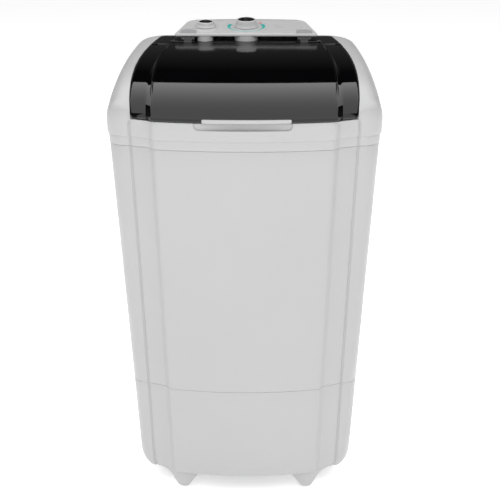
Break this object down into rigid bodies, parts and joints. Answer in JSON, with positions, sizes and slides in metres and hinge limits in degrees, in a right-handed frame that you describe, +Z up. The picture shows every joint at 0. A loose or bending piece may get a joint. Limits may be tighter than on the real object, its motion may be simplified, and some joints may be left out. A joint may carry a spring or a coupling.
{
  "type": "top-loading washer",
  "caption": "Top-loading agitator washer with a tapered plastic cabinet, a hinged smoked arched lid and a tilted rear console with two knobs.",
  "frame": {"origin": "on the floor under the middle of the bounding box", "axes": "+Z up, +X to the machine's right as seen from the front, front faces -Y"},
  "size_m": [0.572, 0.5995, 1.0113],
  "materials": {
    "shell_grey": "satin moulded",
    "frame_grey": "satin moulded",
    "smoked_lid": "polished smoked",
    "tub_white": "smooth moulded",
    "agitator_white": "smooth moulded",
    "rubber_black": "matte",
    "dark_plastic": "fine texture",
    "grey_patch": "satin",
    "console_grey": "satin moulded",
    "overlay_print": "printed film",
    "dial_red": "printed ink",
    "dial_teal": "printed ink",
    "knob_grey": "satin moulded",
    "knob_chrome": "polished",
    "steel_bright": "turned",
    "zinc_plate": "zinc plated",
    "cast_alu": "cast",
    "motor_black": "painted",
    "laminations": "stacked sheets",
    "bush_bronze": "sintered",
    "filter_blue": "moulded mesh"
  },
  "bodies": {
    "machine": {"cabinet": "shell_grey", "base_skirt": "shell_grey", "foot_pads": "rubber_black", "bottom_cover": "dark_plastic", "top_frame": "frame_grey", "lid_rear_panel": "smoked_lid", "hinge_brackets": "dark_plastic", "lid_hinge_pins": "steel_bright", "control_panel": "console_grey", "hinge_covers": "grey_patch", "panel_overlay": "overlay_print", "dial_ring": "dial_teal", "dial_marker": "dial_red", "knob_shrouds": "console_grey", "timer_body": "dark_plastic", "selector_switch": "dark_plastic", "tub": "tub_white", "bearing_housing": "cast_alu", "shaft_bushes": "bush_bronze", "shaft_seal": "rubber_black", "drive_belt": "rubber_black", "motor_casing": "motor_black", "motor_stator": "laminations", "motor_plate": "zinc_plate", "motor_mounts": "rubber_black", "motor_screws": "zinc_plate", "capacitor": "grey_patch", "capacitor_clip": "zinc_plate", "filter_guide": "tub_white", "drain_pipe": "dark_plastic", "base_screws": "zinc_plate", "frame_screws": "zinc_plate", "panel_screws": "zinc_plate", "power_inlet": "dark_plastic"},
    "lid": {"lid": "smoked_lid", "lid_handle": "frame_grey"},
    "timer_knob": {"timer_knob": "knob_grey", "timer_cap": "knob_chrome", "timer_shaft": "steel_bright"},
    "selector_knob": {"selector_knob": "knob_grey", "selector_cap": "knob_chrome", "selector_shaft": "steel_bright"},
    "agitator": {"agitator": "agitator_white", "agitator_cap": "agitator_white", "drive_shaft": "steel_bright", "driven_pulley": "cast_alu", "pulley_nut": "zinc_plate"},
    "motor_rotor": {"motor_rotor": "laminations", "motor_fan": "dark_plastic", "motor_pulley": "cast_alu"},
    "lint_filter": {"lint_filter": "filter_blue"}
  },
  "joints": [
    {"name": "lid_hinge", "type": "hinge", "parent": "machine", "child": "lid", "pos_m": [0, 0.125, 0.9715], "axis": [-1, 0, 0], "range_deg": [0, 100]},
    {"name": "timer_turn", "type": "hinge", "parent": "machine", "child": "timer_knob", "pos_m": [0, 0.19, 0.98881], "axis": [0, 0.1045, -0.9945], "range_deg": [0, 300]},
    {"name": "selector_turn", "type": "hinge", "parent": "machine", "child": "selector_knob", "pos_m": [-0.095, 0.19, 0.98881], "axis": [0, 0.1045, -0.9945], "range_deg": [0, 90]},
    {"name": "agitator_spin", "type": "hinge", "parent": "machine", "child": "agitator", "pos_m": [0, -0.032, 0.3], "axis": [0, 0, 1], "continuous": true},
    {"name": "motor_spin", "type": "hinge", "parent": "machine", "child": "motor_rotor", "pos_m": [0, 0.152, 0.28], "axis": [0, 0, 1], "continuous": true},
    {"name": "filter_lift", "type": "slide", "parent": "machine", "child": "lint_filter", "axis": [0, 0, 1], "range_m": [0, 0.1]}
  ],
  "couplings": [
    {"joint": "motor_spin", "follows": "agitator_spin", "ratio": 5}
  ]
}
